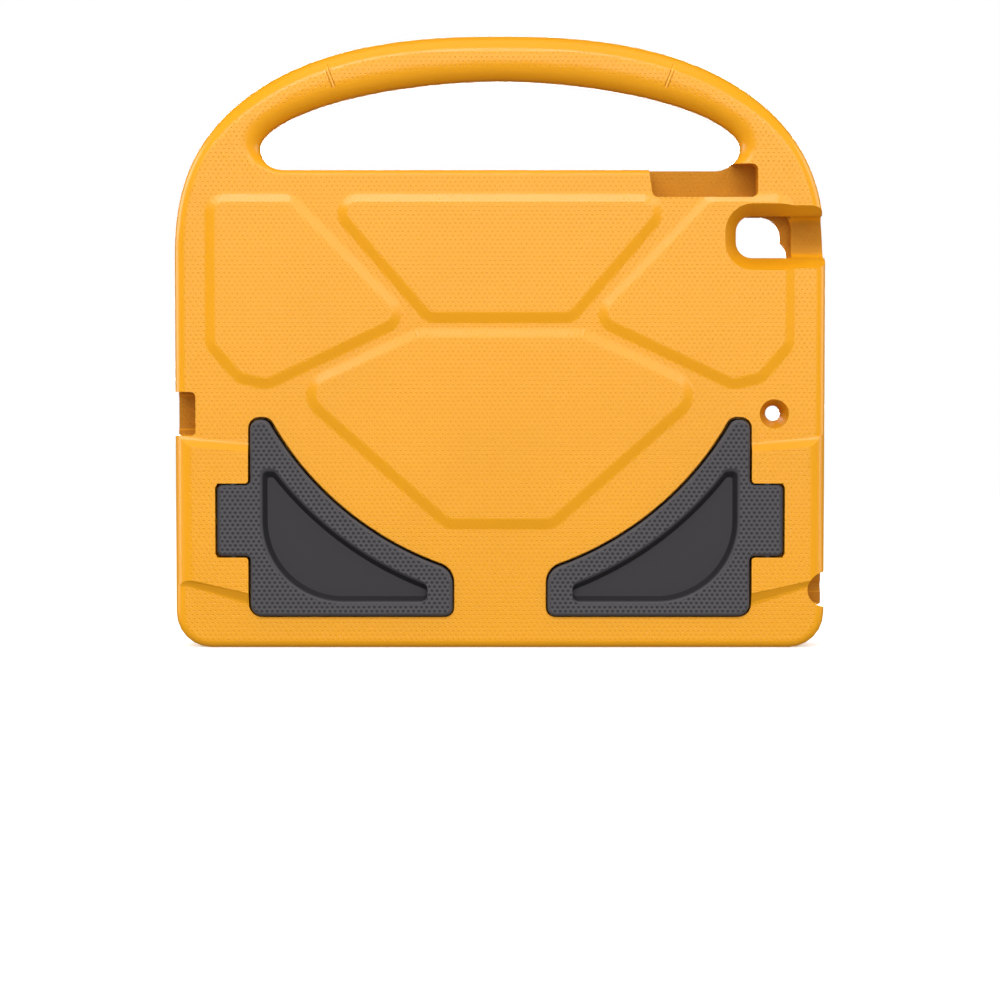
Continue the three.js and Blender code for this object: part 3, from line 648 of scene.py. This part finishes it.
class CASE_OT_joint_lines(bpy.types.Operator):
    """Lay a fine ridge between two strips of painted shadow in each joint line across the grip, on
    both faces

    On the back they stand a little proud of the skin. The open side's skin bounds the case, so
    there they lie as far below it.
    """

    bl_idname = "case.joint_lines"
    bl_label = "Grip joint lines"

    def execute(self, context):
        sizes = context.scene.case_joint_lines
        ridge_foam = bpy.data.materials["orange_foam"]
        crease_shadow_foam = painted_crease_shadow()
        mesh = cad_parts["case_shell"].data
        corners = [corner.co for corner in mesh.vertices]
        skin = BVHTree.FromPolygons(corners, [face.vertices for face in mesh.polygons])
        along = np.linspace(-0.5, 0.5, LINE_POINTS) * sizes.length
        top = SHELL_BOX[1][2] - sizes.below_top
        for face, inward, rise in (("back", 1, sizes.proud), ("front", -1, -sizes.proud)):
            for name, side in (("left", -1), ("right", 1)):
                lean = side * sizes.lean
                x = side * sizes.across + along * math.sin(lean)
                z = top + along * math.cos(lean)
                aside, down = BESIDE_LINE * math.cos(lean), BESIDE_LINE * math.sin(lean)
                y = (skin_depth(skin, x - aside, z + down, inward)
                     + skin_depth(skin, x + aside, z - down, inward)) / 2
                # The two creases are dark strips of painted shadow beside the ridge.
                for part, off, width, material in (
                        ("ridge", 0, sizes.ridge, ridge_foam),
                        ("inner_crease_shadow", -side * sizes.spread, sizes.crease, crease_shadow_foam),
                        ("outer_crease_shadow", side * sizes.spread, sizes.crease, crease_shadow_foam)):
                    deep = inward * (width / 2 - rise)
                    path = [x + off * math.cos(lean), y + deep, z - off * math.sin(lean)]
                    piece = line_surface(f"{name}_{face}_{part}", np.stack(path, axis=-1), lean,
                                         width / 2, width / 2)
                    finished(piece, material, "case", "orange_foam")
        return {"FINISHED"}


class CASE_OT_feet(bpy.types.Operator):
    """Finish both grey feet with soft edges and their foam"""

    bl_idname = "case.feet"
    bl_label = "Feet"

    def execute(self, context):
        sizes = context.scene.case_foam
        material = grey_foam()
        for node in ("left_foot", "right_foot"):
            piece = soften(merged_copy(node, node + "_foam"), sizes.foot_edge, sizes.edge_angle)
            finished(piece, material, node, "grey_foam", node)
        return {"FINISHED"}


class CASE_OT_pins(bpy.types.Operator):
    """Turn both hinge pins with chamfered ends"""

    bl_idname = "case.pins"
    bl_label = "Hinge pins"

    def execute(self, context):
        material = pin_steel()
        for node in ("left_hinge_pin", "right_hinge_pin"):
            low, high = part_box(node)
            piece = pin_surface(node + "_steel", low, high, context.scene.case_pins.chamfer)
            finished(piece, material, "case", "pin_steel", node)
        return {"FINISHED"}


def soft_light(name, place, target, size, power):
    """A rectangular soft light at a place, turned to a target."""
    data = bpy.data.lights.new(name, "AREA")
    data.energy = power
    data.shape = "RECTANGLE"
    data.size, data.size_y = size
    lamp = bpy.data.objects.new(name, data)
    lamp.location = place
    lamp.rotation_euler = (Vector(target) - Vector(place)).to_track_quat("-Z", "Y").to_euler()
    lamp.visible_camera = False
    bpy.context.scene.collection.objects.link(lamp)


def floor_surface(name, radius, drop, columns=64, rows=24):
    """A round, level floor of rings of points, a little below the case.

    The point at share s of the radius and angle a lies at radius * s * cos a, radius * s * sin a.
    """
    share = np.linspace(0, 1, rows)[:, None]
    angle = np.linspace(0, 2 * math.pi, columns, endpoint=False)[None, :]
    x = radius * share * np.cos(angle)
    y = radius * share * np.sin(angle)
    return grid_piece(name, np.stack([x, y, np.full_like(x, -drop)], axis=-1))


class CASE_OT_studio(bpy.types.Operator):
    """Set up the floor, the white surround, the soft lights and the camera"""

    bl_idname = "case.studio"
    bl_label = "Studio"

    def execute(self, context):
        settings = context.scene.case_studio
        floor = floor_surface("studio_floor", FLOOR_RADIUS, FLOOR_DROP)
        floor.data.materials.append(floor_paper())
        floor.visible_diffuse = False
        floor.visible_glossy = False

        # A white surround that lights the foam evenly and doesn't show in its gloss.
        world = bpy.data.worlds.new("white_surround")
        context.scene.world = world
        world.use_nodes = True
        tree = world.node_tree
        ground = tree.nodes["Background"]
        ground.inputs["Color"].default_value = (1, 1, 1, 1)
        seen = add(tree, "ShaderNodeLightPath").outputs
        even = maths(tree, "SUBTRACT", settings.surround, seen["Is Glossy Ray"], clamp=True)
        shown = maths(tree, "MAXIMUM", seen["Is Camera Ray"], even)
        tree.links.new(shown, ground.inputs["Strength"])
        context.scene.view_settings.view_transform = "Standard"

        ends = SLOPE_END * settings.slope
        for name, place, size, power in (
                ("front_light", (0.2, -2.2, 0.5), (2.3, 1.0), settings.front),
                ("slope_light", (-0.2, -1.55, 1.45), (1.3, 0.3), SLOPE_MIDDLE * settings.slope),
                ("left_slope_light", (-1.0, -1.7, 1.15), (0.5, 0.5), ends),
                ("right_slope_light", (1.0, -1.7, 1.15), (0.5, 0.5), ends),
                ("open_side_light", (0, 2.3, 0.4), (1.2, 0.8), settings.open_side),
                ("top_light", (0, -0.15, 1.5), (1.4, 1.0), settings.top),
                ("left_light", (-1.5, 0.25, 0.45), (0.8, 1.2), LEFT_GAIN * settings.side),
                ("right_light", (1.5, 0.25, 0.45), (0.8, 1.2), settings.side)):
            soft_light(name, place, AIM, size, power)

        data = bpy.data.cameras.new("camera")
        data.sensor_width = SENSOR
        data.lens = SENSOR * settings.distance / (IMAGE * settings.pixel)
        data.clip_start = 0.01
        camera = bpy.data.objects.new("camera", data)
        height = (settings.bottom_row - settings.level_row) * settings.pixel
        pitch = math.atan((IMAGE / 2 - settings.level_row) * settings.pixel / settings.distance)
        camera.location = (0, PANEL - settings.distance, height)
        camera.rotation_euler = (math.pi / 2 - pitch, 0, 0)
        context.scene.collection.objects.link(camera)
        context.scene.camera = camera
        return {"FINISHED"}


class CASE_PT_sidebar(bpy.types.Panel):
    """Lists the pieces of the case, their sizes and their colours"""

    bl_idname = "CASE_PT_sidebar"
    bl_label = "Foam tablet case"
    bl_space_type = "VIEW_3D"
    bl_region_type = "UI"
    bl_category = "Case"

    def draw(self, context):
        layout = self.layout
        for group, _ in GROUPS:
            box = layout.box()
            for name in getattr(context.scene, group).bl_rna.properties.keys():
                if name not in ("rna_type", "name"):
                    box.prop(getattr(context.scene, group), name)
        for operator in OPERATORS:
            layout.operator(operator.bl_idname)


GROUPS = (
    ("case_foam", FoamSizes),
    ("case_colours", FoamColours),
    ("case_joint_lines", JointLineSizes),
    ("case_pins", PinSizes),
    ("case_studio", StudioSettings),
)
OPERATORS = (CASE_OT_shell, CASE_OT_joint_lines, CASE_OT_feet, CASE_OT_pins, CASE_OT_studio)


def register():
    for _, group in GROUPS:
        bpy.utils.register_class(group)
    for operator in OPERATORS:
        bpy.utils.register_class(operator)
    bpy.utils.register_class(CASE_PT_sidebar)
    for name, group in GROUPS:
        setattr(bpy.types.Scene, name, bpy.props.PointerProperty(type=group))


def unregister():
    for name, _ in reversed(GROUPS):
        delattr(bpy.types.Scene, name)
    bpy.utils.unregister_class(CASE_PT_sidebar)
    for operator in reversed(OPERATORS):
        bpy.utils.unregister_class(operator)
    for _, group in reversed(GROUPS):
        bpy.utils.unregister_class(group)


def main():
    register()
    bpy.ops.case.shell()
    bpy.ops.case.joint_lines()
    bpy.ops.case.feet()
    bpy.ops.case.pins()
    bpy.ops.case.studio()


if __name__ == "__main__":
    main()
